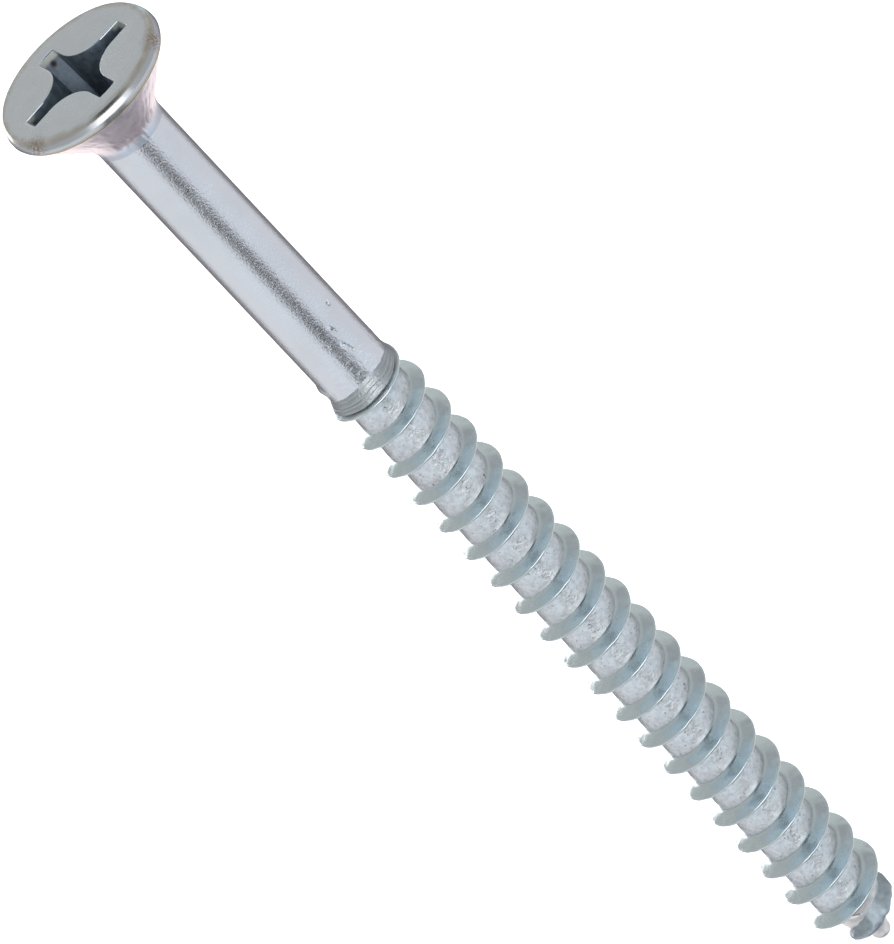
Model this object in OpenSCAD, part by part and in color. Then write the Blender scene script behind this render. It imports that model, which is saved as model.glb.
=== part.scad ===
// Countersunk cross-recess wood screw with a rolled right-hand thread.
// Millimetres. The axis is Z with the head up.
// The origin is the centre of the head's flat face and the point is at -Z.

/* [Overall] */
// Length from the flat face to the tip
screw_len = 76.2; // [60:0.1:90]
// Which node to draw

/* [Head] */
// Diameter of the head at its land
head_d = 10.15; // [9.6:0.1:11]
// Height of the cylindrical land under the flat face
land_h = 0.68; // [0.3:0.05:0.9]
// Round on the rim of the flat face
rim_round_r = 0.18; // [0.05:0.01:0.25]
// Included angle of the countersunk cone
cone_angle = 82; // [80:1:90]
// Fillet between the cone and the shank
neck_fillet_r = 1.9; // [0.5:0.1:2.5]

/* [Recess] */
// Width across opposite wings of the recess at the flat face
recess_span = 7.4; // [6.6:0.1:7.8]
// Width of one wing
wing_w = 1.2; // [0.9:0.05:1.5]
// Slope of the wing ends from the axis
wing_end_slope = 26.5; // [20:0.5:30]
// Round on the four lobes of metal between the wings
lobe_round_r = 1.95; // [0.8:0.05:2.1]
// Depth at which the wings end
wing_depth = 3.4; // [2.5:0.1:3.6]
// Depth of the conical bottom below the wings
recess_bottom_h = 0.45; // [0.2:0.05:0.6]
// Turn of the recess about the axis
recess_turn = 9.6; // [0:0.1:45]

/* [Shank] */
// Diameter of the plain shank
shank_d = 4.24; // [4:0.01:4.6]
// Distance from the flat face to the step down to the thread's root
shank_end = 25.35; // [20:0.1:30]
// Length of the step down to the root
shank_step_h = 0.9; // [0.3:0.1:1.5]

/* [Thread] */
// Root diameter of the thread
root_d = 3.8; // [3.5:0.01:3.95]
// Outside diameter of the thread next to the shank
crest_top_d = 5.26; // [5:0.01:5.6]
// Outside diameter of the thread next to the point
crest_end_d = 5.57; // [5.2:0.01:5.8]
// Advance of the thread in one turn
pitch = 2.41; // [2.2:0.01:2.6]
// Flat along the crest
crest_flat = 0.2; // [0.1:0.01:0.4]
// Slope of the ridge's flanks from square to the axis
flank_angle = 24; // [20:1:35]
// Distance from the flat face to the start of the ridge
ridge_start = 25; // [20:0.1:27]
// Length over which the ridge rises to its full height
ridge_rise = 2.8; // [1:0.1:5]
// Direction from the axis to the ridge where it reaches its full height
ridge_turn = 0; // [0:1:359]

/* [Point] */
// Length of the thread's taper over the point, down to the tip
taper_len = 4.25; // [3.5:0.05:6]
// Radius that the taper would have at the tip
taper_tip_r = 0.97; // [0.8:0.01:1.2]
// Length of the root's taper together with the blunt tip
point_len = 4; // [3:0.1:6]
// Length of the blunt tip
nub_len = 1.1; // [0.6:0.1:1.5]
// Diameter of the blunt tip
nub_d = 1.64; // [1.2:0.02:1.8]
// Distance from the end of the ridge to the tip
ridge_tip_gap = 0.8; // [0.5:0.1:2]

/* [Hidden] */
$fn = 96;
steel = "LightSlateGray";
steel_light = "LightSteelBlue";
over = 1;
seg_turn = 24;
arc_steps = 10;
seed_h = 0.02;
ridge_fade = 0.9;
head_r = head_d / 2;
shank_r = shank_d / 2;
root_r = root_d / 2;
nub_r = nub_d / 2;
half_cone = cone_angle / 2;
cone_h = (head_r - shank_r) / tan(half_cone);
fillet_run = neck_fillet_r * tan(half_cone / 2);
head_h = land_h + cone_h + fillet_run;
core_end = screw_len - point_len;
ridge_full = ridge_start + ridge_rise;
ridge_end = screw_len - ridge_tip_gap;
taper_start = screw_len - taper_len;
ridge_base_lift = 1 / cos(180 / seg_turn);
section_count = ceil((ridge_end - ridge_start) / pitch * seg_turn);

// Smooth step from 0 to 1 between two distances
function ease(s, a, b) = let (t = min(1, max(0, (s - a) / (b - a)))) t * t * (3 - 2 * t);

// Straight blend from 0 to 1 between two distances
function ramp(s, a, b) = min(1, max(0, (s - a) / (b - a)));

// Root radius at a distance from the flat face
function root_at(s) =
    s < core_end
    ? shank_r + (root_r - shank_r) * ramp(s, shank_end, shank_end + shank_step_h)
    : root_r + (nub_r - root_r) * ramp(s, core_end, screw_len - nub_len);

// Outside radius of the full thread at a distance from the flat face
function envelope_at(s) =
    s < taper_start
    ? crest_top_d / 2 + (crest_end_d - crest_top_d) / 2 * ramp(s, ridge_full, taper_start)
    : crest_end_d / 2 + (taper_tip_r - crest_end_d / 2) * ramp(s, taper_start, screw_len);

// Height of the ridge over the root, with its rise at the shank and its fade at the tip
function ridge_height_at(s) =
    seed_h + max(0, envelope_at(s) - root_at(s) - seed_h)
    * ease(s, ridge_start, ridge_full) * (1 - ease(s, ridge_end - ridge_fade, ridge_end));

// Points of an arc as [radius, height], from one direction to another
function arc(cx, cz, r, a0, a1, steps) =
    [for (i = [0 : steps]) let (a = a0 + (a1 - a0) * i / steps) [cx + r * cos(a), cz + r * sin(a)]];

// Direction from the axis to the middle of the ridge
function ridge_azimuth(s) = ridge_turn - 360 * (s - ridge_full) / pitch;

// One corner of the ridge's section: side is -1 towards the head and 1 towards the tip
function ridge_point(s, r, reach) =
    let (a = ridge_azimuth(s)) [r * cos(a), r * sin(a), -s - reach];

// The four corners of the ridge's section
function ridge_section(s) =
    let (base_r = root_at(s) * ridge_base_lift,
         h = ridge_height_at(s),
         tip_half = crest_flat / 2,
         base_half = tip_half + h * tan(flank_angle))
    [ridge_point(s, base_r, -base_half),
     ridge_point(s, base_r + h, -tip_half),
     ridge_point(s, base_r + h, tip_half),
     ridge_point(s, base_r, base_half)];

// Outline of one quarter of the cross: a wing's end corner, then the rounded lobe of metal
function recess_quarter(turn) =
    let (reach = recess_span,
         half_w = wing_w / 2,
         c = half_w + lobe_round_r,
         pts = concat([[reach, -half_w], [reach, half_w]],
                      arc(c, c, lobe_round_r, 270, 180, arc_steps)))
    [for (p = pts) [p[0] * cos(turn) - p[1] * sin(turn), p[0] * sin(turn) + p[1] * cos(turn)]];

// The space that the driver's bit enters
module drive_recess() {
    end_run = tan(wing_end_slope);
    span_r = recess_span / 2;
    bottom_r = span_r - wing_depth * end_run;
    rotate([0, 0, recess_turn])
    intersection() {
        translate([0, 0, -wing_depth - recess_bottom_h - over])
            linear_extrude(wing_depth + recess_bottom_h + 2 * over)
                polygon([for (q = [0 : 3]) for (p = recess_quarter(90 * q)) p]);
        rotate_extrude()
            polygon([[0, -wing_depth - recess_bottom_h],
                     [bottom_r, -wing_depth],
                     [span_r + over * end_run, over],
                     [0, over]]);
    }
}

// Flat face, land, cone and neck fillet, with the cross recess sunk into the face
module countersunk_head() {
    color(steel_light)
    difference() {
        rotate_extrude()
            polygon(concat(
                [[0, 0]],
                arc(head_r - rim_round_r, -rim_round_r, rim_round_r, 90, 0, arc_steps),
                [[head_r, -land_h]],
                arc(shank_r + neck_fillet_r, -head_h, neck_fillet_r, 180 - half_cone, 180, arc_steps),
                [[0, -head_h]]));
        drive_recess();
    }
}

// Unthreaded shank under the head
module plain_shank() {
    color(steel)
    translate([0, 0, -shank_end])
        cylinder(h = shank_end - head_h, r = shank_r);
}

// Rolled root of the thread with its step down from the shank
module thread_core() {
    color(steel)
    rotate_extrude()
        polygon([[0, -shank_end],
                 [shank_r, -shank_end],
                 [root_r, -shank_end - shank_step_h],
                 [root_r, -core_end],
                 [0, -core_end]]);
}

// Helical ridge standing on the root, from its run-out at the shank to its fade at the tip
module thread_ridge() {
    last = section_count;
    points = [for (i = [0 : last])
                  let (s = ridge_start + (ridge_end - ridge_start) * i / last)
                  for (p = ridge_section(s)) p];
    sides = [for (i = [0 : last - 1]) for (k = [0 : 3])
                 let (a = 4 * i + k, b = 4 * i + (k + 1) % 4)
                 for (f = [[a, b, b + 4], [a, b + 4, a + 4]]) f];
    ends = [[0, 3, 2], [0, 2, 1],
            [4 * last, 4 * last + 1, 4 * last + 2], [4 * last, 4 * last + 2, 4 * last + 3]];
    color(steel_light)
    polyhedron(points = points, faces = concat(sides, ends), convexity = 20);
}

// Taper of the root and the blunt tip
module gimlet_point() {
    nub_round_r = nub_r * 0.6;
    color(steel)
    rotate_extrude()
        polygon(concat(
            [[0, -core_end], [root_r, -core_end], [nub_r, nub_len - screw_len]],
            arc(nub_r - nub_round_r, nub_round_r - screw_len, nub_round_r, 0, -90, arc_steps),
            [[0, -screw_len]]));
}

countersunk_head();
plain_shank();
thread_core();
thread_ridge();
gimlet_point();
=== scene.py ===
import math

import bmesh
import bpy
from bpy.props import FloatProperty, FloatVectorProperty, PointerProperty
from mathutils import Matrix, Vector, noise


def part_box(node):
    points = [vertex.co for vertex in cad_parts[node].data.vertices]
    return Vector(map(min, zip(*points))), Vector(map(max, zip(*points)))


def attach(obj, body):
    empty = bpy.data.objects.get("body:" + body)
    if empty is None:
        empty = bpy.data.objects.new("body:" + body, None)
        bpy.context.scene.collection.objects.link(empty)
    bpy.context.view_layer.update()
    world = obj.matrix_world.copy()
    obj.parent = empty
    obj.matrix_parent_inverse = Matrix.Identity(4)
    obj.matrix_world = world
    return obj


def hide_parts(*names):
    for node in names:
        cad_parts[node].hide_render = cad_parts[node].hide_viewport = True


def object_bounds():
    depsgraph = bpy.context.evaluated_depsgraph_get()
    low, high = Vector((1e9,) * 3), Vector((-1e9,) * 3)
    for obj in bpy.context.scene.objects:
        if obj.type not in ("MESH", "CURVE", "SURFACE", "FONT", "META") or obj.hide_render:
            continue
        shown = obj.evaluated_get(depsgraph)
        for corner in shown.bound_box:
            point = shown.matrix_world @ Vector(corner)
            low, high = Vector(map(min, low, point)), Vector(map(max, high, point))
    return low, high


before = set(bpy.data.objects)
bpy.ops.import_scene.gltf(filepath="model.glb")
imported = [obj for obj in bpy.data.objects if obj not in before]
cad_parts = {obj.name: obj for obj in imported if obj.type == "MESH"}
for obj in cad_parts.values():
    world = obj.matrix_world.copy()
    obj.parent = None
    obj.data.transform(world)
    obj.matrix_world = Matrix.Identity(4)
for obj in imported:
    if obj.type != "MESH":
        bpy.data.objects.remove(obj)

bl_info = {
    "name": "Countersunk wood screw",
    "version": (1, 0, 0),
    "blender": (4, 5, 0),
    "location": "3D View > Sidebar > Wood screw",
    "description": "Builds a zinc-plated countersunk wood screw around its CAD frame",
    "category": "Object",
}

MM = 0.001
CAD_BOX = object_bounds()
HEAD_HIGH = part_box("countersunk_head")[1]
SHANK_LOW, SHANK_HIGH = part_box("plain_shank")
CORE_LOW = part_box("thread_core")[0]
POINT_LOW, POINT_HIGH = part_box("gimlet_point")


def srgb(code):
    """Turns an sRGB hex colour into linear red, green and blue."""
    parts = [int(code[i:i + 2], 16) / 255 for i in (1, 3, 5)]
    return tuple(p / 12.92 if p <= 0.04045 else ((p + 0.055) / 1.055) ** 2.4 for p in parts)


def ease(s, start, end):
    """Smooth step from 0 to 1 between two distances."""
    t = min(1.0, max(0.0, (s - start) / (end - start)))
    return t * t * (3 - 2 * t)


def ramp(s, start, end):
    """Straight blend from 0 to 1 between two distances."""
    return min(1.0, max(0.0, (s - start) / (end - start)))


# ---------------------------------------------------------------- properties

class ScrewSizes(bpy.types.PropertyGroup):
    """Sizes of the screw, starting from the CAD frame."""
    head_radius: FloatProperty(name="Head radius", description="Radius of the land",
                               default=HEAD_HIGH[0], unit="LENGTH")
    land: FloatProperty(name="Land", description="Height of the land under the flat face",
                        default=0.68 * MM, unit="LENGTH")
    cone_angle: FloatProperty(name="Cone angle", description="Included angle of the countersink",
                              default=math.radians(82), subtype="ANGLE")
    neck_fillet: FloatProperty(name="Neck fillet", description="Fillet between cone and shank",
                               default=1.9 * MM, unit="LENGTH")
    recess_span: FloatProperty(name="Recess span", description="Width across opposite wings",
                               default=7.4 * MM, unit="LENGTH")
    wing_width: FloatProperty(name="Wing width", description="Width of one wing at the face",
                              default=1.12 * MM, unit="LENGTH")
    lobe_round: FloatProperty(name="Lobe round", description="Round on the metal between wings",
                              default=1.95 * MM, unit="LENGTH")
    wing_depth: FloatProperty(name="Wing depth", description="Depth to the end of the wings",
                              default=3.4 * MM, unit="LENGTH")
    recess_turn: FloatProperty(name="Recess turn", description="Turn of the recess about the axis",
                               default=math.radians(9.6), subtype="ANGLE")
    shank_radius: FloatProperty(name="Shank radius", description="Radius of the plain shank",
                                default=SHANK_HIGH[0], unit="LENGTH")
    root_radius: FloatProperty(name="Root radius", description="Radius at the root of the thread",
                               default=POINT_HIGH[0], unit="LENGTH")
    crest_start: FloatProperty(name="Crest radius at the shank", description="Outside radius there",
                               default=2.63 * MM, unit="LENGTH")
    first_crest: FloatProperty(name="First crest", default=25.39 * MM, unit="LENGTH",
                               description="Depth where the ridge leaves the shank")
    crest_end: FloatProperty(name="Crest radius at the point", description="Outside radius there",
                             default=2.785 * MM, unit="LENGTH")
    pitch: FloatProperty(name="Pitch", description="Advance of the thread in one turn",
                         default=2.41 * MM, unit="LENGTH")
    full_thread: FloatProperty(name="Full thread", default=27.8 * MM, unit="LENGTH",
                               description="Depth where the ridge is full height")
    taper_start: FloatProperty(name="Taper start", default=71.95 * MM, unit="LENGTH",
                               description="Depth where the crest turns inwards")


class ScrewFinish(bpy.types.PropertyGroup):
    """Colours of the plating and of the studio."""
    zinc: FloatVectorProperty(name="Zinc", description="Clear zinc plating",
                              default=srgb("#D6D9DE"), subtype="COLOR")
    warm: FloatVectorProperty(name="Warm film", description="Brown film where the rack touched",
                              default=srgb("#96826E"), subtype="COLOR")
    cone: FloatVectorProperty(name="Cone", description="Matt plating on the ribbed cone",
                              default=srgb("#EFE4E6"), subtype="COLOR")
    ridge: FloatVectorProperty(name="Ridge", description="Blue chromate film on the rolled ridge",
                               default=srgb("#D0DADE"), subtype="COLOR")
    # painted shade: this dark colour stands in for the shade deep in the cross recess
    recess: FloatVectorProperty(name="Recess", description="Painted shade deep in the cross recess",
                                default=srgb("#6E7B89"), subtype="COLOR")
    floor: FloatVectorProperty(name="Floor", description="Pale studio floor",
                               default=srgb("#FFFFFF"), subtype="COLOR")


# ------------------------------------------------------------ making helpers

def start_clean():
    """Leaves edit mode and deselects everything."""
    if bpy.context.object and bpy.context.object.mode != "OBJECT":
        bpy.ops.object.mode_set(mode="OBJECT")
    bpy.ops.object.select_all(action="DESELECT")


def select_where(piece, kind, test):
    """Selects the faces, edges or vertices that pass a test, in edit mode."""
    bpy.ops.mesh.select_all(action="DESELECT")
    bpy.ops.mesh.select_mode(type=kind)
    mesh = bmesh.from_edit_mesh(piece.data)
    parts = {"VERT": mesh.verts, "EDGE": mesh.edges, "FACE": mesh.faces}[kind]
    for part in parts:
        if test(part):
            part.select_set(True)
    mesh.select_flush_mode()
    bmesh.update_edit_mesh(piece.data)


def turned_solid(name, outline, facets):
    """Draws a circle and extrudes it ring by ring along an outline of radius and height."""
    start_clean()
    radius, height = outline[0]
    bpy.ops.mesh.primitive_circle_add(vertices=facets, radius=radius, fill_type="NGON",
                                      enter_editmode=True)
    piece = bpy.context.object
    piece.name = name
    bpy.ops.transform.translate(value=(0, 0, height))
    for (last_r, last_z), (r, z) in zip(outline, outline[1:]):
        bpy.ops.mesh.extrude_region_move(TRANSFORM_OT_translate={"value": (0, 0, z - last_z)})
        bpy.ops.transform.resize(value=(r / last_r, r / last_r, 1), center_override=(0, 0, z))
    bpy.ops.mesh.select_all(action="SELECT")
    bpy.ops.mesh.normals_make_consistent(inside=False)
    bpy.ops.object.mode_set(mode="OBJECT")
    return piece


def spun_solid(name, outline, facets):
    """Spins an outline of radius and height round the axis and closes both ends."""
    start_clean()
    bpy.ops.mesh.primitive_circle_add(vertices=len(outline), radius=outline[0][0],
                                      fill_type="NOTHING", enter_editmode=True)
    piece = bpy.context.object
    piece.name = name
    mesh = bmesh.from_edit_mesh(piece.data)
    for vert, (r, z) in zip(list(mesh.verts), outline):
        vert.co = (r, 0, z)
    bmesh.update_edit_mesh(piece.data)
    ends = (outline[0][1], outline[-1][1])
    select_where(piece, "EDGE", lambda e: {round(v.co.z, 9) for v in e.verts}
                 == {round(z, 9) for z in ends})
    bpy.ops.mesh.delete(type="EDGE")
    bpy.ops.mesh.select_all(action="SELECT")
    bpy.ops.mesh.spin(steps=facets, angle=2 * math.pi, center=(0, 0, 0), axis=(0, 0, 1))
    bpy.ops.mesh.select_all(action="SELECT")
    bpy.ops.mesh.remove_doubles(threshold=1e-6)
    bpy.ops.mesh.fill_holes(sides=0)
    bpy.ops.mesh.select_all(action="SELECT")
    bpy.ops.mesh.normals_make_consistent(inside=False)
    bpy.ops.object.mode_set(mode="OBJECT")
    return piece


def reshape(piece, surface):
    """Moves each vertex to the radius that a surface gives for its radius, depth and turn.

    The turn runs from 0 on the +X side through 0.25 on the -Y side to 1.
    """
    for vert in piece.data.vertices:
        radius = math.hypot(vert.co.x, vert.co.y)
        if radius > 1e-6:
            turn = (-math.atan2(vert.co.y, vert.co.x) / (2 * math.pi)) % 1.0
            factor = surface(radius, -vert.co.z, turn) / radius
            vert.co.x *= factor
            vert.co.y *= factor


def on_surface(radius, depth, turn):
    """The point at a radius, a depth and a turn."""
    angle = -2 * math.pi * turn
    return Vector((radius * math.cos(angle), radius * math.sin(angle), -depth))


def grain(radius, depth, turn, size):
    """Smooth noise from -1 to 1 on the surface, with lumps of one size."""
    return noise.noise(on_surface(radius, depth, turn) / size)


def along(distance, knots):
    """Straight lines between knots of distance and value."""
    for (start, low), (end, high) in zip(knots, knots[1:]):
        if distance < end:
            return low + (high - low) * ramp(distance, start, end)
    return knots[-1][1]


def give_finish(piece, material, test):
    """Gives a second finish to the faces that pass a test."""
    start_clean()
    bpy.context.view_layer.objects.active = piece
    piece.select_set(True)
    piece.data.materials.append(material)
    bpy.ops.object.mode_set(mode="EDIT")
    select_where(piece, "FACE", test)
    piece.active_material_index = len(piece.data.materials) - 1
    bpy.ops.object.material_slot_assign()
    bpy.ops.object.mode_set(mode="OBJECT")


def cut(piece, tool, operation):
    """Applies a Boolean and removes the tool."""
    step = piece.modifiers.new("cut", "BOOLEAN")
    step.operation = operation
    step.solver = "EXACT"
    step.object = tool
    bpy.context.view_layer.objects.active = piece
    bpy.ops.object.modifier_apply(modifier=step.name)
    bpy.data.objects.remove(tool, do_unlink=True)


def finish_piece(piece, material, nodes, angle):
    """Smooths a piece, gives it its finish and ties it to the frame."""
    start_clean()
    piece.select_set(True)
    bpy.context.view_layer.objects.active = piece
    bpy.ops.object.transform_apply(location=True, rotation=True, scale=True)
    bpy.ops.object.shade_smooth_by_angle(angle=math.radians(angle))
    piece.data.materials.clear()
    piece.data.materials.append(material)
    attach(piece, "root")
    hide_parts(*nodes)


def arc(centre_r, centre_z, radius, start, end, steps):
    """Points of an arc as radius and height."""
    angles = [start + (end - start) * i / steps for i in range(steps + 1)]
    return [(centre_r + radius * math.cos(a), centre_z + radius * math.sin(a)) for a in angles]


# ---------------------------------------------------------------- materials

def add_node(tree, kind, settings=None, links=None):
    """Adds one node, sets its values and links its inputs."""
    node = tree.nodes.new(kind)
    for name, value in (settings or {}).items():
        if isinstance(name, str) and hasattr(node, name):
            setattr(node, name, value)
        else:
            node.inputs[name].default_value = value
    for name, source in (links or {}).items():
        tree.links.new(source, node.inputs[name])
    return node


def film_over(tree, under, film, amount):
    """Lays a film colour over another by an amount from 0 to 1."""
    mix = add_node(tree, "ShaderNodeMix", {"data_type": "RGBA"}, {0: amount, 6: under})
    mix.inputs[7].default_value = (*film, 1)
    return mix.outputs[2]


def speck(tree, place, centre, inner, outer):
    """One inside a small spot round a point, falling to 0 at its outer radius."""
    away = add_node(tree, "ShaderNodeVectorMath", {"operation": "DISTANCE", 1: centre}, {0: place})
    return add_node(tree, "ShaderNodeMapRange",
                    {"From Min": inner, "From Max": outer, "To Min": 1.0, "To Max": 0.0},
                    {"Value": away.outputs["Value"]}).outputs["Result"]


class Plating:
    """Electroplated zinc with a clear chromate film, the start of each finish.

    The grain breaks up reflections and the film clouds the colour a little, down to
    the share of the tint that cloud gives. Both are drawn coarser than real plating,
    whose grain is too fine to show. Sizes of grain and clouds are in mm.
    """

    def __init__(self, name, tint, rough, grain_mm, grain_depth, cloud_mm, metal=1.0, cloud=0.9):
        self.material = bpy.data.materials.new(name)
        self.material.use_nodes = True
        self.tree = tree = self.material.node_tree
        tree.nodes.clear()
        self.place = add_node(tree, "ShaderNodeTexCoord").outputs["Object"]
        lumps = add_node(tree, "ShaderNodeTexNoise",
                         {"Scale": 1 / (grain_mm * MM), "Detail": 3.0, "Roughness": 0.6},
                         {"Vector": self.place})
        self.clouds = add_node(tree, "ShaderNodeTexNoise",
                               {"Scale": 1 / (cloud_mm * MM), "Detail": 3.0, "Roughness": 0.55},
                               {"Vector": self.place}).outputs["Fac"]
        film = add_node(tree, "ShaderNodeValToRGB", {}, {"Fac": self.clouds})
        thin, thick = film.color_ramp.elements
        thin.position, thick.position = 0.35, 0.65
        thin.color = (*[c * cloud for c in tint], 1)
        thick.color = (*tint, 1)
        self.colour = film.outputs["Color"]
        self.specks = lumps.outputs["Fac"]
        gloss = add_node(tree, "ShaderNodeMapRange",
                         {"From Min": 0.3, "From Max": 0.7, "To Min": rough * 0.85,
                          "To Max": rough * 1.2}, {"Value": self.clouds})
        bump = add_node(tree, "ShaderNodeBump", {"Strength": 1.0, "Distance": grain_depth * MM},
                        {"Height": lumps.outputs["Fac"]})
        self.shader = add_node(tree, "ShaderNodeBsdfPrincipled", {"Metallic": metal},
                               {"Roughness": gloss.outputs["Result"],
                                "Normal": bump.outputs["Normal"]})
        add_node(tree, "ShaderNodeOutputMaterial", {}, {"Surface": self.shader.outputs["BSDF"]})

    def done(self):
        """Links the colour and gives the material."""
        self.tree.links.new(self.colour, self.shader.inputs["Base Color"])
        return self.material

    def stain(self, film, amount):
        """Lays a film over the colour so far."""
        self.colour = film_over(self.tree, self.colour, film, amount)

    def measured(self, axes, low, high, wander=0.0):
        """From 0 to 1 as the distance along some axes goes from low to high, with ragged edges."""
        flat = add_node(self.tree, "ShaderNodeVectorMath", {"operation": "MULTIPLY", 1: axes},
                        {0: self.place})
        length = add_node(self.tree, "ShaderNodeVectorMath", {"operation": "LENGTH"},
                          {0: flat.outputs["Vector"]})
        ragged = add_node(self.tree, "ShaderNodeMath", {"operation": "MULTIPLY_ADD", 1: wander},
                          {0: self.clouds, 2: length.outputs["Value"]})
        return add_node(self.tree, "ShaderNodeMapRange",
                        {"From Min": low + wander / 2, "From Max": high + wander / 2},
                        {"Value": ragged.outputs[0]}).outputs["Result"]


ACROSS = (1, 1, 0)
DOWN = (0, 0, 1)
RACK_MARKS = ((4.3 * MM, -2.75 * MM, -0.3 * MM), (-4.35 * MM, -2.6 * MM, -0.3 * MM))


def headed_plating(finish):
    """Zinc plated steel, cold headed: smooth grey face, with thicker film out on the rim.

    The film is straw grey round the rim, clear on the land, straw along the lower edge
    of the land and brown where the plating rack touched it.
    """
    plating = Plating("zinc plated steel, cold headed", finish.zinc, 0.26, 0.12, 0.0015, 1.1,
                      cloud=0.96)
    plating.stain(srgb("#B6AEA4"), plating.measured(ACROSS, 4.5 * MM, 4.95 * MM, 0.9 * MM))
    plating.stain(srgb("#C3C7CE"), plating.measured(DOWN, 0.1 * MM, 0.3 * MM, 0.1 * MM))
    edge = plating.measured(DOWN, 0.62 * MM, 0.76 * MM, 0.12 * MM)
    above = plating.measured(DOWN, 1.4 * MM, 1.2 * MM)
    straw = add_node(plating.tree, "ShaderNodeMath", {"operation": "MULTIPLY"}, {0: edge, 1: above})
    plating.stain(srgb("#B3A68A"), straw.outputs[0])
    for centre in RACK_MARKS:
        spot = speck(plating.tree, plating.place, centre, 0.2 * MM, 1.0 * MM)
        patchy = add_node(plating.tree, "ShaderNodeMapRange", {"From Min": 0.42, "From Max": 0.58},
                          {"Value": plating.specks}).outputs["Result"]
        amount = add_node(plating.tree, "ShaderNodeMath", {"operation": "MULTIPLY"},
                          {0: spot, 1: patchy}).outputs[0]
        plating.stain(finish.warm, amount)
    return plating.done()


def cone_plating(finish):
    """Zinc plated steel, ribbed cone: matt and faintly pink white, turning darker grey over the
    neck.
    """
    plating = Plating("zinc plated steel, ribbed cone", finish.cone, 0.33, 0.12, 0.014, 0.7,
                      metal=0.9, cloud=0.84)
    # darker grey from the foot of the cone down over the neck
    plating.stain(srgb("#BDBFC7"), plating.measured(DOWN, 4.1 * MM, 4.5 * MM))
    return plating.done()


def recess_painted_shade_and_light_with_rust(finish, sizes):
    """Zinc plated steel, punched recess: painted shade in the depth and painted light at the mouth
    where the wings end.

    One wing has a rust spot on its end wall.
    """
    # painted shade: the dark recess colour stands in for the shade deep in the recess
    plating = Plating("zinc plated steel, recess with painted shade and light", finish.recess, 0.36, 0.14, 0.01, 0.4,
                      metal=0.6, cloud=0.6)
    # painted light: the top of each wing's end wall is laid paler, as if it caught the light at the
    # mouth of the recess
    mouth = plating.measured(DOWN, 0.46 * MM, 0.3 * MM, 0.12 * MM)
    ends = plating.measured(ACROSS, 3.1 * MM, 3.3 * MM)
    pale = add_node(plating.tree, "ShaderNodeMath", {"operation": "MULTIPLY"}, {0: mouth, 1: ends})
    plating.stain(srgb("#A3A8A2"), pale.outputs[0])
    turn, out = sizes.recess_turn, 3.42 * MM
    rust = (-out * math.sin(turn) + 0.05 * MM, out * math.cos(turn), -0.55 * MM)
    plating.stain(srgb("#2C1A1A"), speck(plating.tree, plating.place, rust, 0.1 * MM, 0.26 * MM))
    return plating.done()


def root_plating(finish):
    """Zinc plated steel, rolled root: mottled white, pitted, and duller on the folded collar."""
    plating = Plating("zinc plated steel, rolled root", srgb("#DBE0E4"), 0.32, 0.16, 0.04, 0.3,
                      cloud=0.77)
    pits = add_node(plating.tree, "ShaderNodeMapRange", {"From Min": 0.63, "From Max": 0.7},
                    {"Value": plating.specks}).outputs["Result"]
    plating.stain(srgb("#7C7882"), pits)
    plating.stain(srgb("#A9AFB3"), plating.measured(DOWN, 27 * MM, 26.2 * MM, 0.3 * MM))
    return plating.done()


# ------------------------------------------------------------------- pieces

def neck_outline(sizes):
    """Rim, land, cone and neck fillet from the flat face down to the shank.

    The rim is a chain of bends, each from one slope to the next on a radius of its own.
    """
    half = sizes.cone_angle / 2
    slopes = [math.radians(a) for a in (5, 38, 52, 66, 76, 98)]
    radii_and_steps = ((0.12, 5), (0.9, 6), (0.3, 4), (1.4, 5), (0.35, 4))
    bends = [(start, end, size * MM, steps)
             for start, end, (size, steps) in zip(slopes, slopes[1:], radii_and_steps)]
    reach = sum(size * (math.sin(min(end, math.pi / 2)) - math.sin(start))
                for start, end, size, _ in bends)
    r, z = sizes.head_radius - reach, -0.01 * MM
    points = [(r - 0.22 * MM, 0), (r, z)]
    for start, end, size, steps in bends:
        for i in range(1, steps + 1):
            last, here = (start + (end - start) * (i - j) / steps for j in (1, 0))
            r += size * (math.sin(here) - math.sin(last))
            z += size * (math.cos(here) - math.cos(last))
            points.append((r, z))
    cone_top = (r, -sizes.land)
    run = sizes.neck_fillet * math.tan(half / 2)
    bottom = -(sizes.land + (sizes.head_radius - sizes.shank_radius) / math.tan(half) + run)
    neck = arc(sizes.shank_radius + sizes.neck_fillet, bottom, sizes.neck_fillet,
               math.pi - half, math.pi, 14)
    rings, crowding = 26, 1.5
    shares = [(i / rings) ** crowding for i in range(rings)]
    points += [(cone_top[0] + (neck[0][0] - cone_top[0]) * share,
                cone_top[1] + (neck[0][1] - cone_top[1]) * share) for share in shares]
    return points + neck


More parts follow.
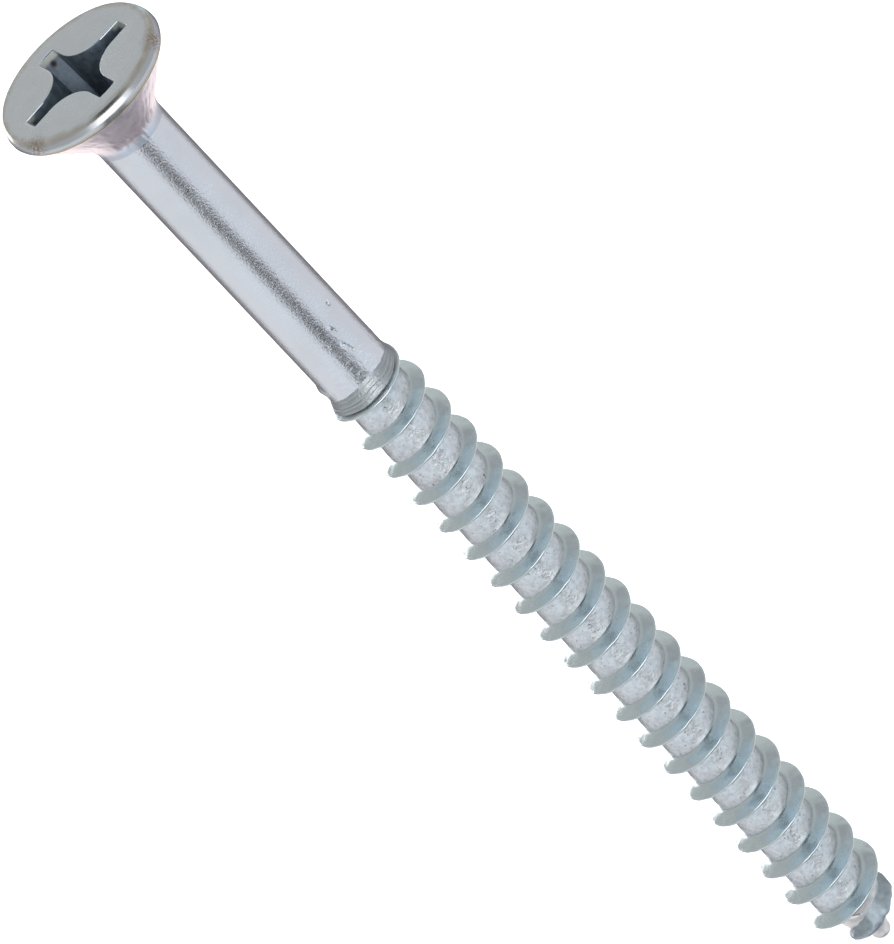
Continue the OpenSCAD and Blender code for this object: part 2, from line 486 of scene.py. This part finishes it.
class WOODSCREW_OT_head(bpy.types.Operator):
    """Turn the countersunk head and sink the cross recess into it"""
    bl_idname = "woodscrew.head"
    bl_label = "Countersunk head"

    def execute(self, context):
        sizes = context.scene.screw_sizes
        finish = context.scene.screw_finish
        head = spun_solid("countersunk_head_plated", neck_outline(sizes), 240)
        reshape(head, lambda r, depth, turn: self.ribbed(sizes, r, depth, turn))
        cut(head, self.recess_tool(sizes), "DIFFERENCE")
        self.soften_recess(head, sizes)
        finish_piece(head, headed_plating(finish), ["countersunk_head"], 35)
        give_finish(head, cone_plating(finish),
                    lambda f: self.on_cone(sizes, f.calc_center_median()))
        give_finish(head, recess_painted_shade_and_light_with_rust(finish, sizes),
                    lambda f: self.in_recess(sizes, f.calc_center_median()))
        return {"FINISHED"}

    def ribbed(self, sizes, radius, depth, turn):
        """Radius with the uneven land and the fine ribs that the heading die leaves on the cone.

        At the front the rim is rounder and the land wider than at the back.
        """
        if radius < sizes.head_radius * 0.9 and depth < sizes.land:
            return radius
        east, south = math.cos(2 * math.pi * turn), math.sin(2 * math.pi * turn)
        on_cone = ease(depth, sizes.land + 0.15 * MM, sizes.land + 0.5 * MM)
        broad = noise.noise(Vector((east, south, depth / (4.4 * MM))) * 9)
        fine = noise.noise(Vector((east * 24, south * 24, depth / (1.1 * MM))))
        fade = 1 - ease(depth, 3.9 * MM, 5.4 * MM)
        dents = 0.012 * MM * abs(grain(radius, depth, turn, 0.7 * MM))
        sharp_rim = 0.6 * (1 - on_cone) * ease(-south, -0.2, 0.9)
        radius += sharp_rim * max(0, sizes.head_radius - radius)
        late_cone = ease(south, -0.3, 0.9) * ease(depth, 0.4 * MM, 0.6 * MM) \
            * (1 - ease(depth, sizes.land + 0.12 * MM, sizes.land + 0.3 * MM))
        radius += late_cone * max(0, sizes.head_radius - radius)
        return radius + on_cone * fade * (0.027 * broad + 0.026 * fine) * MM - (1 - on_cone) * dents

    def wall_radius(self, sizes, depth):
        """Radius of the cone or of the land at a depth."""
        return sizes.head_radius - max(0, depth - sizes.land) * math.tan(sizes.cone_angle / 2)

    def on_cone(self, sizes, centre):
        """Whether the middle of a face lies on the cone or the neck."""
        inside = self.wall_radius(sizes, -centre.z) - centre.to_2d().length
        return -centre.z > sizes.land + 0.16 * MM and inside < 0.3 * MM

    def in_recess(self, sizes, centre):
        """Whether the middle of a face lies in the recess."""
        inside = self.wall_radius(sizes, -centre.z) - centre.to_2d().length
        return -centre.z > 0.08 * MM and inside > 0.5 * MM

    def recess_tool(self, sizes):
        """A cross-shaped punch: a tapered cross trimmed by a cone, standing proud of the face."""
        start_clean()
        half = sizes.wing_width / 2
        reach = sizes.recess_span
        top = 0.6 * MM
        depth = sizes.wing_depth + 0.5 * MM
        spread, taper = 1.03, 0.74
        bpy.ops.mesh.primitive_plane_add(size=sizes.wing_width, enter_editmode=True)
        punch = bpy.context.object
        for x, y in ((1, 0), (0, 1), (-1, 0), (0, -1)):
            direction = Vector((x, y, 0))
            select_where(punch, "EDGE", lambda e: all(
                abs(v.co.dot(direction) - half) < 1e-7 and v.co.length < sizes.wing_width
                for v in e.verts))
            bpy.ops.mesh.extrude_region_move(
                TRANSFORM_OT_translate={"value": tuple(direction * (reach - half))})
        select_where(punch, "EDGE", lambda e: len(e.link_faces) == 2)
        bpy.ops.mesh.dissolve_edges(use_verts=False)
        select_where(punch, "VERT", lambda v: v.co.length < half * 1.6)
        bpy.ops.mesh.bevel(offset=sizes.lobe_round, segments=14, affect="VERTICES",
                           offset_type="OFFSET", clamp_overlap=False)
        bpy.ops.mesh.select_all(action="SELECT")
        bpy.ops.transform.translate(value=(0, 0, top))
        bpy.ops.transform.resize(value=(spread, spread, 1), center_override=(0, 0, 0))
        bpy.ops.mesh.extrude_region_move(TRANSFORM_OT_translate={"value": (0, 0, -top - depth)})
        bpy.ops.transform.resize(value=(taper, taper, 1), center_override=(0, 0, 0))
        bpy.ops.mesh.select_all(action="SELECT")
        bpy.ops.transform.rotate(value=-sizes.recess_turn, orient_axis="Z",
                                 center_override=(0, 0, 0))
        bpy.ops.mesh.normals_make_consistent(inside=False)
        bpy.ops.object.mode_set(mode="OBJECT")
        span = sizes.recess_span / 2
        slope = math.tan(math.radians(26.5))
        wing_foot = span - sizes.wing_depth * slope
        cone = turned_solid("cone", [(span + top * slope, top), (wing_foot, -sizes.wing_depth),
                                     (0.1 * MM, -depth + 0.05 * MM)], 128)
        cut(punch, cone, "INTERSECT")
        return punch

    def soften_recess(self, head, sizes):
        """Rounds the edge where the recess meets the flat face."""
        start_clean()
        bpy.context.view_layer.objects.active = head
        bpy.ops.object.mode_set(mode="EDIT")
        reach = sizes.recess_span * 0.56
        select_where(head, "EDGE", lambda e: all(
            abs(v.co.z) < 1e-6 and v.co.to_2d().length < reach for v in e.verts)
            and any(abs(f.normal.z) < 0.9 for f in e.link_faces))
        bpy.ops.mesh.bevel(offset=0.11 * MM, segments=3, affect="EDGES")
        bpy.ops.object.mode_set(mode="OBJECT")


class WOODSCREW_OT_shank(bpy.types.Operator):
    """Turn the plain shank and mark it as handling does"""
    bl_idname = "woodscrew.shank"
    bl_label = "Plain shank"

    burr_depth, burr_turn = 24.65 * MM, 0.5
    # depth, turn, length, width and cut of each mark, in mm but for the turn
    marks = ((20.04, 0.137, 0.13, 0.09, 0.16), (21.2, 0.206, 0.3, 0.06, 0.1),
             (21.7, 0.27, 0.12, 0.1, 0.025), (22.3, 0.216, 0.09, 0.09, 0.09),
             (22.6, 0.206, 0.12, 0.06, 0.1), (22.9, 0.2, 0.12, 0.06, 0.1),
             (9.8, 0.16, 0.12, 0.08, 0.02), (14.2, 0.36, 0.1, 0.08, 0.02),
             (12.6, 0.62, 0.3, 0.08, 0.03), (18.4, 0.81, 0.16, 0.1, 0.035))

    def execute(self, context):
        sizes = context.scene.screw_sizes
        top, bottom = -SHANK_HIGH[2], -SHANK_LOW[2]
        rings = 210
        outline = [(sizes.shank_radius, -top - (bottom - top) * i / rings)
                   for i in range(rings + 1)]
        shank = spun_solid("plain_shank_plated", outline, 168)
        reshape(shank, lambda r, depth, turn: self.handled(sizes, r, depth, turn))
        # drawn wire: bright and a little blue, its long reflections roughened by the grain
        wire = Plating("zinc plated steel, drawn wire", context.scene.screw_finish.zinc,
                       0.18, 0.13, 0.021, 2.2, cloud=0.95)
        finish_piece(shank, wire.done(), ["plain_shank"], 35)
        return {"FINISHED"}

    def handled(self, sizes, radius, depth, turn):
        """Radius with the small marks, the rough lower end and its rolled burr."""
        moved = 0.0
        for at, side, length, width, cut_depth in self.marks:
            x = (depth / MM - at) / length
            y = (turn - side) * 2 * math.pi * sizes.shank_radius / MM / width
            if abs(x) < 3 and abs(y) < 3:
                moved -= cut_depth * math.exp(-x * x - y * y) * (1 - 1.4 * ramp(x + y, 0.4, 2.0))
        rough = ease(depth, 22.2 * MM, 23.8 * MM)
        moved += rough * 0.016 * grain(radius, depth, turn, 0.2 * MM)
        along_burr = (depth - self.burr_depth) / (0.3 * MM)
        across_burr = (turn - self.burr_turn) / 0.045
        moved += 0.12 * math.exp(-along_burr ** 2 - across_burr ** 2)
        return radius + moved * MM


def crest_radius(sizes, depth):
    """Crest radius of the ridge at a depth under the flat face."""
    if depth < sizes.full_thread:
        return along(depth, ((sizes.first_crest - 0.7 * MM, sizes.shank_radius - 0.08 * MM),
                             (sizes.first_crest - 0.05 * MM, sizes.shank_radius + 0.22 * MM),
                             (sizes.first_crest + sizes.pitch / 4, sizes.crest_start - 0.12 * MM),
                             (sizes.full_thread, sizes.crest_start)))
    if depth < sizes.taper_start:
        return sizes.crest_start + (sizes.crest_end - sizes.crest_start) * ramp(
            depth, sizes.full_thread, sizes.taper_start)
    past = (depth - sizes.taper_start) / MM
    return sizes.crest_end - (0.28 * past + 0.055 * past * past) * MM


def late_start(sizes, depth):
    """How much deeper the ridge lies than its helix where it leaves the shank."""
    return 0.42 * MM * (1 - ramp(depth, sizes.first_crest - 0.03 * MM,
                                 sizes.first_crest + 1.2 * MM))


class WOODSCREW_OT_core(bpy.types.Operator):
    """Turn the rolled root of the thread and its run-out collar"""
    bl_idname = "woodscrew.core"
    bl_label = "Thread root"

    collar_start, collar_end = 23.9 * MM, 28.1 * MM
    step_start, step_end = 25.35 * MM, 26.25 * MM
    # place up the ramp of the collar and depth in mm of each fold
    folds = ((0.4, 0.022), (0.56, 0.034), (0.8, 0.016))

    def execute(self, context):
        sizes = context.scene.screw_sizes
        collar_rings, plain_rings = 130, 330
        collar_length = self.collar_end - self.collar_start
        plain_length = -CORE_LOW[2] - self.collar_end
        depths = [self.collar_start + collar_length * i / collar_rings
                  for i in range(collar_rings)]
        depths += [self.collar_end + plain_length * i / plain_rings
                   for i in range(plain_rings + 1)]
        core = spun_solid("thread_root_plated", [(sizes.root_radius, -d) for d in depths], 120)
        reshape(core, lambda r, depth, turn: self.rolled(sizes, depth, turn))
        finish_piece(core, root_plating(context.scene.screw_finish),
                     ["thread_core"], 50)
        return {"FINISHED"}

    def rolled(self, sizes, depth, turn):
        """Radius of the root, or of the collar that ramps up to the first crest."""
        step = ease(depth, self.step_start, self.step_end)
        base = sizes.shank_radius - 0.015 * MM + (sizes.root_radius - sizes.shank_radius) * step
        groove = ((depth - sizes.first_crest) / sizes.pitch - turn) % 1.0
        base += 0.1 * MM * (groove - 0.5) * ease(depth, sizes.full_thread - 1 * MM,
                                                 sizes.full_thread)
        radius = max(base, self.collar(sizes, depth, turn), self.collar(sizes, depth, turn - 1))
        lumps = 0.006 * grain(radius, depth, turn, 0.3 * MM) \
            + 0.004 * grain(radius, depth, turn, 0.14 * MM)
        pit = max(0, grain(radius, depth + 7 * MM, turn, 0.38 * MM) - 0.45)
        return radius + (lumps - 0.09 * pit * step) * MM

    def collar(self, sizes, depth, turn):
        """Radius of the folded ramp that rises from the shank to the first crest."""
        crest_depth = sizes.first_crest + sizes.pitch * turn
        crest = crest_radius(sizes, crest_depth) - 0.03 * MM
        crest_depth += late_start(sizes, crest_depth)
        length = along(turn, ((-0.3, 0.02 * MM), (0, 0.8 * MM), (0.25, 1.46 * MM), (0.5, 1.1 * MM),
                              (1, 0.18 * MM)))
        back = crest_depth - depth
        if back < 0 or back > length or crest < sizes.shank_radius or turn < -0.3:
            return 0
        share = back / length
        rise = (crest - sizes.shank_radius) * (1 - share)
        wander = 0.05 * noise.noise(Vector((turn * 9, 0, 0)))
        folds = sum(math.exp(-((share - place - wander * (2 - i)) / 0.026) ** 2) * deep
                    for i, (place, deep) in enumerate(self.folds))
        split = math.exp(-((back / MM - 0.2 - wander) / 0.05) ** 2) * ease(turn, 0.02, 0.12)
        return sizes.shank_radius + rise - (folds + 0.22 * split) * MM


class WOODSCREW_OT_ridge(bpy.types.Operator):
    """Wind the ridge of the thread round the root"""
    bl_idname = "woodscrew.ridge"
    bl_label = "Thread ridge"

    steps_per_turn = 108
    folded_depth = 72.9 * MM
    first_depth = 24.75 * MM
    last_depth = 75.1 * MM

    def section(self, sizes):
        """Section of the ridge at full height as radius and height: two flanks and a crest."""
        crest = sizes.crest_start
        root = sizes.root_radius
        head_slope, tip_slope = math.tan(math.radians(22)), math.tan(math.radians(26))
        flat = 0.07 * MM
        nose = 0.055 * MM
        fillet = 0.06 * MM
        sunk = root - 0.25 * MM
        rise = crest - root

        def flank(slope, heights):
            return [(root + h * MM, flat + (rise - h * MM) * slope) for h in heights]

        head_side = [(sunk, flat + rise * head_slope + fillet * 1.3),
                     (root - 0.01 * MM, flat + rise * head_slope + fillet * 1.1),
                     (root + 0.02 * MM, flat + rise * head_slope + fillet * 0.45),
                     (root + 0.07 * MM, flat + (rise - 0.07 * MM) * head_slope + fillet * 0.12)]
        head_side += flank(head_slope, (0.16, 0.28, 0.4, 0.52, 0.62))
        head_side += [(crest - nose, flat + nose * head_slope), (crest - nose * 0.3, flat * 0.85),
                      (crest, flat * 0.35)]
        tip_side = [(sunk, flat + rise * tip_slope + fillet * 1.2),
                    (root - 0.01 * MM, flat + rise * tip_slope + fillet),
                    (root + 0.05 * MM, flat + (rise - 0.05 * MM) * tip_slope + fillet * 0.25)]
        tip_side += flank(tip_slope, (0.16, 0.4, 0.6))
        tip_side += [(crest - nose, flat + nose * tip_slope), (crest - nose * 0.3, flat * 0.85),
                     (crest, flat * 0.35)]
        return head_side + [(r, -z) for r, z in reversed(tip_side)]

    def execute(self, context):
        sizes = context.scene.screw_sizes
        start_clean()
        points = self.section(sizes)
        bpy.ops.mesh.primitive_circle_add(vertices=len(points), radius=sizes.pitch,
                                          fill_type="NOTHING", enter_editmode=True)
        ridge = bpy.context.object
        ridge.name = "thread_ridge_plated"
        turns = (self.last_depth - self.first_depth) / sizes.pitch
        start_angle = 2 * math.pi * (sizes.full_thread - self.first_depth) / sizes.pitch
        mesh = bmesh.from_edit_mesh(ridge.data)
        for vert, (r, z) in zip(list(mesh.verts), points):
            vert.co = (r * math.cos(start_angle), r * math.sin(start_angle),
                       z - self.first_depth)
        bmesh.update_edit_mesh(ridge.data)
        bpy.ops.object.mode_set(mode="OBJECT")
        screw = ridge.modifiers.new("thread", "SCREW")
        screw.axis = "Z"
        screw.angle = -2 * math.pi * turns
        screw.screw_offset = -sizes.pitch * turns
        screw.iterations = 1
        screw.steps = screw.render_steps = int(turns * self.steps_per_turn)
        screw.use_smooth_shade = True
        bpy.ops.object.modifier_apply(modifier=screw.name)
        self.fit_to_crest(ridge, sizes, len(points))
        bpy.context.view_layer.objects.active = ridge
        bpy.ops.object.mode_set(mode="EDIT")
        bpy.ops.mesh.select_all(action="SELECT")
        bpy.ops.mesh.fill_holes(sides=0)
        bpy.ops.mesh.select_all(action="SELECT")
        bpy.ops.mesh.normals_make_consistent(inside=False)
        bpy.ops.object.mode_set(mode="OBJECT")
        # rolled ridge: smooth satin under a blue film
        rolled = Plating("zinc plated steel, rolled ridge", context.scene.screw_finish.ridge,
                         0.25, 0.14, 0.003, 0.8, cloud=0.93)
        finish_piece(ridge, rolled.done(), ["thread_ridge"], 50)
        # folded last turn: duller and mottled, where the dies squeezed the ridge
        folded = Plating("zinc plated steel, folded last turn", srgb("#A4B0B9"), 0.44, 0.16,
                         0.02, 0.4, metal=0.8, cloud=0.74)
        give_finish(ridge, folded.done(),
                    lambda f: f.calc_center_median().z < -self.folded_depth)
        return {"FINISHED"}

    def fit_to_crest(self, ridge, sizes, count):
        """Draws each section in or out to the crest's taper, with the small faults of rolling.

        Over the last turn the side towards the head spreads into a broad folded flank.
        """
        rings = len(ridge.data.vertices) // count
        for vert in ridge.data.vertices:
            ring = vert.index // count
            depth = self.first_depth + (self.last_depth - self.first_depth) * ring / (rings - 1)
            crest = crest_radius(sizes, depth)
            height = ramp(math.hypot(vert.co.x, vert.co.y), sizes.root_radius, sizes.crest_start)
            fault = noise.noise(vert.co / (0.5 * MM)) * MM
            fault += 0.22 * noise.noise(vert.co / (0.2 * MM)) * MM
            pinched = ease(depth, 72.4 * MM, 74 * MM)
            factor = crest / sizes.crest_start + (0.017 + 0.06 * pinched) * height * fault / crest
            vert.co.x *= factor
            vert.co.y *= factor
            rise = vert.co.z + depth
            spread = (3.2 if rise > 0 else 0.1) * pinched * (1 - ease(depth, 74 * MM, 75 * MM))
            wander = (0.04 + 0.1 * pinched) * height * noise.noise(vert.co / (0.45 * MM)) * MM
            vert.co.z = rise * (1 + spread * (1 - 0.6 * height)) - depth \
                - late_start(sizes, depth) + wander


class WOODSCREW_OT_point(bpy.types.Operator):
    """Turn the pinched point and its blunt tip"""
    bl_idname = "woodscrew.point"
    bl_label = "Gimlet point"

    nub_height = 1.15 * MM
    nub_round = 0.42 * MM
    crack_depth, crack_turn, crack_radius = 72.8 * MM, 0.31, 1.6 * MM
    crack_slant = 0.6

    def execute(self, context):
        sizes = context.scene.screw_sizes
        top, tip = -POINT_HIGH[2], -POINT_LOW[2]
        nub_top = tip - self.nub_height
        rings = 60
        depths = [top + (nub_top - top) * i / rings for i in range(rings + 1)]
        outline = [(self.pinched(sizes, top, nub_top, depth), -depth) for depth in depths]
        outline += arc(0.16 * MM, self.nub_round - tip, self.nub_round, math.radians(12),
                       -math.pi / 2, 12)
        point = spun_solid("gimlet_point_plated", outline, 96)
        reshape(point, lambda r, depth, turn: self.lumpy(r, depth, turn, top, nub_top)
                - self.crack(r, depth, turn))
        finish_piece(point, self.pinched_plating(),
                     ["gimlet_point"], 50)
        return {"FINISHED"}

    def pinched(self, sizes, top, nub_top, depth):
        """Radius of the point between the root and its blunt nub."""
        return along(depth, ((top, sizes.root_radius), (top + 1.9 * MM, 1.3 * MM),
                             (nub_top, 0.8 * MM)))

    def lumpy(self, radius, depth, turn, top, nub_top):
        """Radius with the lumps and pits of the pinched metal, fading over the nub."""
        lumps = 0.035 * ease(depth, top, top + 1 * MM) * grain(radius, depth, turn, 0.7 * MM)
        pits = 0.03 * abs(grain(radius, depth, turn, 0.35 * MM))
        fade = 1 - 0.7 * ease(depth, nub_top, nub_top + 0.2 * MM)
        return radius + (lumps - pits) * MM * fade * ramp(radius, 0, 0.5 * MM)

    def crack(self, radius, depth, turn):
        """Depth of the slanting crack that the pinching dies leave before the last flank."""
        down = (turn - self.crack_turn) * 2 * math.pi * radius / MM
        across = (depth - self.crack_depth) / MM + self.crack_slant * down
        return 0.16 * MM * math.exp(-(across / 0.07) ** 2 - (down / 0.32) ** 2)

    def pinched_plating(self):
        """Zinc plated steel, pinched point: dull and warm white, with painted shade in the crack.
        """
        plating = Plating("zinc plated steel, pinched point", srgb("#DEDAD8"),
                          0.42, 0.16, 0.016, 0.4, metal=0.8, cloud=0.8)
        # painted shade: a row of dark spots laid along the crack
        for step in range(-3, 4):
            down = 0.09 * MM * step
            place = on_surface(self.crack_radius, self.crack_depth - self.crack_slant * down,
                               self.crack_turn + down / (2 * math.pi * self.crack_radius))
            plating.stain(srgb("#2E2D33"), speck(plating.tree, plating.place, place, 0.02 * MM,
                                                 0.12 * MM - 0.03 * abs(down)))
        return plating.done()


# -------------------------------------------------------------------- stage

# What the metal mirrors. Each panel is painted over those before it:
# name, side it is on, sweep round the screw, rise, soft edge in degrees, colour, brightness
STUDIO_PANELS = [
    ("white table", "front", (-180, 180), (-90, -12), 10, "#EEEFF4", 1.0),
    ("lit side of the table", "front", (-175, -20), (-60, -14), 12, "#F8F9FC", 1.0),
    ("upper white card", "front", (26, 82), (-54, -42), 5, "#CDEDFF", 1.8),
    ("lower white card", "front", (-82, -26), (-54, -42), 5, "#CDEDFF", 1.55),
    ("teal cloth", "front", (-24, 24), (-60, -47), 6, "#8FC0CE", 0.95),
    ("bright sheet behind", "back", (-34, 34), (-52, -38), 4, "#F8F0F3", 1.85),
    ("far shadow", "back", (-54, 54), (-37, -14), 7, "#8A8689", 1.0),
    ("shadow under the head", "front", (-180, 180), (-90, -60), 6, "#7A717D", 1.0),
    ("ceiling", "front", (-180, 180), (69, 90), 4, "#C2DAE6", 1.1),
    ("grey wall", "back", (24, 64), (43, 61), 5, "#B0B0B3", 1.0),
    ("pale wall", "back", (12, 44), (12, 39), 5, "#D6D7D4", 1.05),
    ("back sheet", "back", (-34, -3), (-14, 6), 1.5, "#FFFFFF", 3.0),
    ("frame of the sheet", "back", (-34, -5), (7, 11), 1.5, "#3A383C", 1.0),
    ("blue slot", "back", (-3, 30), (-12, 8), 2, "#BFE0EC", 1.3),
    ("window", "front", (-26, 26), (-12, 36), 8, "#FFFFFF", 2.2),
    ("dark lamp arm", "front", (-30, 30), (42, 72), 4, "#101214", 1.0),
    ("camera and stand", "front", (-18, 18), (-40, -24), 2, "#0C0D0E", 1.0),
]


class WOODSCREW_OT_stage(bpy.types.Operator):
    """Lay the pale floor, set the soft light and place the camera"""
    bl_idname = "woodscrew.stage"
    bl_label = "Studio stage"

    floor_size = 4.0
    walls = "#C6C8C6"

    def execute(self, context):
        self.lay_floor(context)
        self.light_studio(context)
        self.place_camera(context)
        return {"FINISHED"}

    def lay_floor(self, context):
        """Lays a white floor that the metal doesn't mirror."""
        start_clean()
        bpy.ops.mesh.primitive_plane_add(size=self.floor_size, enter_editmode=True)
        floor = context.object
        floor.name = "studio_floor"
        bpy.ops.transform.translate(value=(0, 0, CAD_BOX[0][2]))
        bpy.ops.object.mode_set(mode="OBJECT")
        # matt paint: even white, without gloss
        paint = bpy.data.materials.new("matt white studio paint")
        paint.use_nodes = True
        shader = paint.node_tree.nodes["Principled BSDF"]
        shader.inputs["Base Color"].default_value = (*context.scene.screw_finish.floor, 1)
        shader.inputs["Roughness"].default_value = 0.9
        shader.inputs["Emission Color"].default_value = (1, 1, 1, 1)
        shader.inputs["Emission Strength"].default_value = 0.6
        floor.data.materials.append(paint)
        floor.visible_glossy = False

    def light_studio(self, context):
        """Paints the panels on the walls round the screw and hangs a soft lamp overhead.

        The camera itself sees plain white behind the screw.
        """
        world = bpy.data.worlds.new("soft studio")
        context.scene.world = world
        world.use_nodes = True
        tree = world.node_tree
        tree.nodes.clear()
        way = add_node(tree, "ShaderNodeTexCoord").outputs["Generated"]
        axes = add_node(tree, "ShaderNodeSeparateXYZ", {}, {"Vector": way}).outputs
        height = add_node(tree, "ShaderNodeMath", {"operation": "ARCSINE"},
                          {0: axes["Z"]}).outputs[0]
        back = add_node(tree, "ShaderNodeMath", {"operation": "ARCTAN2"},
                        {0: axes["X"], 1: axes["Y"]}).outputs[0]
        ahead = add_node(tree, "ShaderNodeMath", {"operation": "MULTIPLY", 1: -1.0},
                         {0: axes["Y"]}).outputs[0]
        front = add_node(tree, "ShaderNodeMath", {"operation": "ARCTAN2"},
                         {0: axes["X"], 1: ahead}).outputs[0]
        base = add_node(tree, "ShaderNodeRGB")
        base.outputs[0].default_value = (*srgb(self.walls), 1)
        colour = base.outputs[0]
        for name, side, sweep, rise, soft, code, gain in STUDIO_PANELS:
            turn = self.panel_edge(tree, front if side == "front" else back, sweep, soft)
            lift = self.panel_edge(tree, height, rise, soft)
            both = add_node(tree, "ShaderNodeMath", {"operation": "MULTIPLY"}, {0: turn, 1: lift})
            mix = add_node(tree, "ShaderNodeMix", {"data_type": "RGBA", "label": name},
                           {0: both.outputs[0], 6: colour})
            mix.inputs[7].default_value = (*[c * gain for c in srgb(code)], 1)
            colour = mix.outputs[2]
        seen = add_node(tree, "ShaderNodeLightPath").outputs["Is Camera Ray"]
        mix = add_node(tree, "ShaderNodeMix", {"data_type": "RGBA"}, {0: seen, 6: colour})
        mix.inputs[7].default_value = (1, 1, 1, 1)
        background = add_node(tree, "ShaderNodeBackground", {"Strength": 1.0},
                              {"Color": mix.outputs[2]})
        add_node(tree, "ShaderNodeOutputWorld", {}, {"Surface": background.outputs[0]})
        context.scene.view_settings.view_transform = "Standard"
        sun = bpy.data.lights.new("overhead", "SUN")
        sun.energy = 1.0
        sun.angle = math.radians(60)
        lamp = bpy.data.objects.new("overhead", sun)
        context.collection.objects.link(lamp)
        lamp.visible_glossy = False

    def panel_edge(self, tree, angle, limits, soft):
        """One where an angle is inside its limits in degrees, with a soft edge."""
        low, high = (math.radians(limit) for limit in limits)
        edge = math.radians(soft)
        offset = add_node(tree, "ShaderNodeMath", {"operation": "SUBTRACT", 1: (low + high) / 2},
                          {0: angle}).outputs[0]
        away = add_node(tree, "ShaderNodeMath", {"operation": "ABSOLUTE"}, {0: offset}).outputs[0]
        return add_node(tree, "ShaderNodeMapRange",
                        {"interpolation_type": "SMOOTHSTEP", "From Min": (high - low) / 2 + edge,
                         "From Max": (high - low) / 2 - edge}, {"Value": away}).outputs["Result"]

    def place_camera(self, context):
        """Places the camera in front and above, rolled so that the screw lies slantwise."""
        elevation, distance, focal_length = math.radians(31.73), 0.5934, 414.9035
        aim = Vector((-0.00017, 0, -0.033914))
        away = Vector((0, math.cos(elevation), -math.sin(elevation)))
        up = Vector((0, math.sin(elevation), math.cos(elevation)))
        side = Vector((1, 0, 0))
        roll = math.radians(46.736)
        right = -up * math.cos(roll) + side * math.sin(roll)
        top = up * math.sin(roll) + side * math.cos(roll)
        lens = bpy.data.cameras.new("studio camera")
        lens.sensor_width = 36
        lens.lens = focal_length
        lens.clip_start = 0.01
        lens.clip_end = 20
        camera = bpy.data.objects.new("studio camera", lens)
        context.collection.objects.link(camera)
        turn = Matrix((right, top, -away)).transposed()
        camera.matrix_world = Matrix.Translation(aim - away * distance) @ turn.to_4x4()
        context.scene.camera = camera


class WOODSCREW_PT_panel(bpy.types.Panel):
    """Lists the steps that build the wood screw"""
    bl_label = "Wood screw"
    bl_idname = "WOODSCREW_PT_panel"
    bl_space_type = "VIEW_3D"
    bl_region_type = "UI"
    bl_category = "Wood screw"

    def draw(self, context):
        column = self.layout.column()
        for step in STEPS:
            column.operator(step.bl_idname)
        for group in (context.scene.screw_sizes, context.scene.screw_finish):
            for name in group.__annotations__:
                column.prop(group, name)


STEPS = (WOODSCREW_OT_head, WOODSCREW_OT_shank, WOODSCREW_OT_core, WOODSCREW_OT_ridge,
         WOODSCREW_OT_point, WOODSCREW_OT_stage)
CLASSES = (ScrewSizes, ScrewFinish, *STEPS, WOODSCREW_PT_panel)


def register():
    for item in CLASSES:
        bpy.utils.register_class(item)
    bpy.types.Scene.screw_sizes = PointerProperty(type=ScrewSizes)
    bpy.types.Scene.screw_finish = PointerProperty(type=ScrewFinish)


def unregister():
    del bpy.types.Scene.screw_finish
    del bpy.types.Scene.screw_sizes
    for item in reversed(CLASSES):
        bpy.utils.unregister_class(item)


def main():
    register()
    bpy.ops.woodscrew.head()
    bpy.ops.woodscrew.shank()
    bpy.ops.woodscrew.core()
    bpy.ops.woodscrew.ridge()
    bpy.ops.woodscrew.point()
    bpy.ops.woodscrew.stage()


if __name__ == "__main__":
    main()
